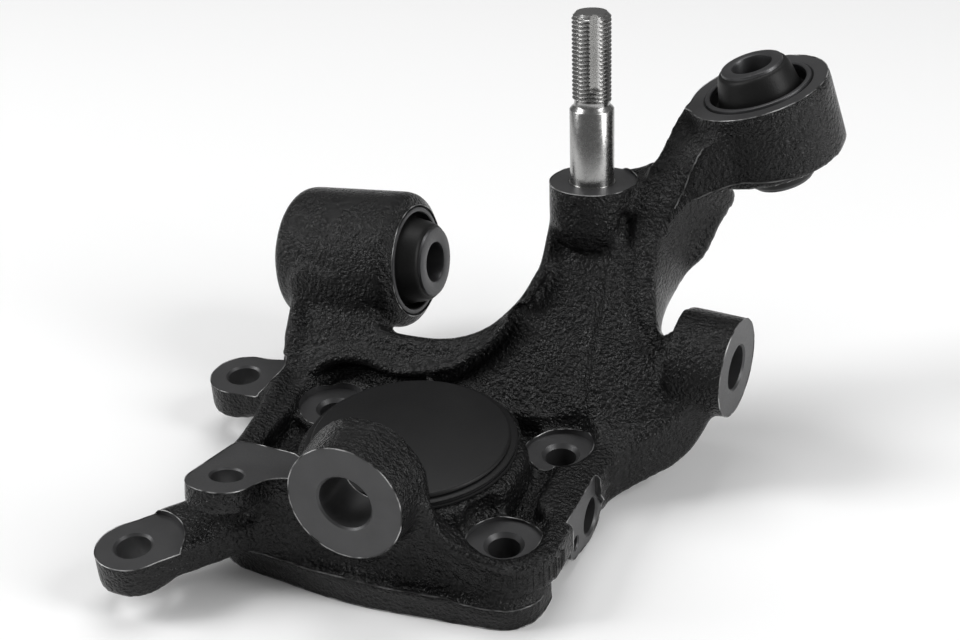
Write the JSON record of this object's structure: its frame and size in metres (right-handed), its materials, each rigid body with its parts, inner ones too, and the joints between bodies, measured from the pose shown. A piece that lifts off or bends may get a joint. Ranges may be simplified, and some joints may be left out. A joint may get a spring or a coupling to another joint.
{
  "type": "steering knuckle",
  "caption": "Cast rear knuckle with a hub flange, a leaning tower, bonded rubber bushes, a threaded shock stud and drilled bosses and lugs for suspension links.",
  "frame": {"origin": "the hub axis on the hub's mounting face, the flat underside of the flange", "axes": "+Z along the hub axis towards the capped side, +X along the long side of the hub bolt rectangle towards the speed sensor, +Y towards the stud tower"},
  "size_m": [0.2209, 0.2306, 0.1586],
  "materials": {
    "coated_iron": "semi-gloss black coating over a rough sand-cast skin, machined faces satin dark grey",
    "sleeve_steel": "dark satin steel",
    "bush_rubber": "matt black rubber",
    "stud_steel": "bright turned steel",
    "cap_metal": "matt black pressed cap"
  },
  "bodies": {
    "root": {"knuckle_casting": "coated_iron", "left_bush_inner_sleeve": "sleeve_steel", "left_bush_rubber": "bush_rubber", "left_bush_outer_sleeve": "sleeve_steel", "right_bush_inner_sleeve": "sleeve_steel", "right_bush_rubber": "bush_rubber", "right_bush_outer_sleeve": "sleeve_steel", "shock_stud": "stud_steel", "hub_dust_cap": "cap_metal"}
  },
  "joints": []
}
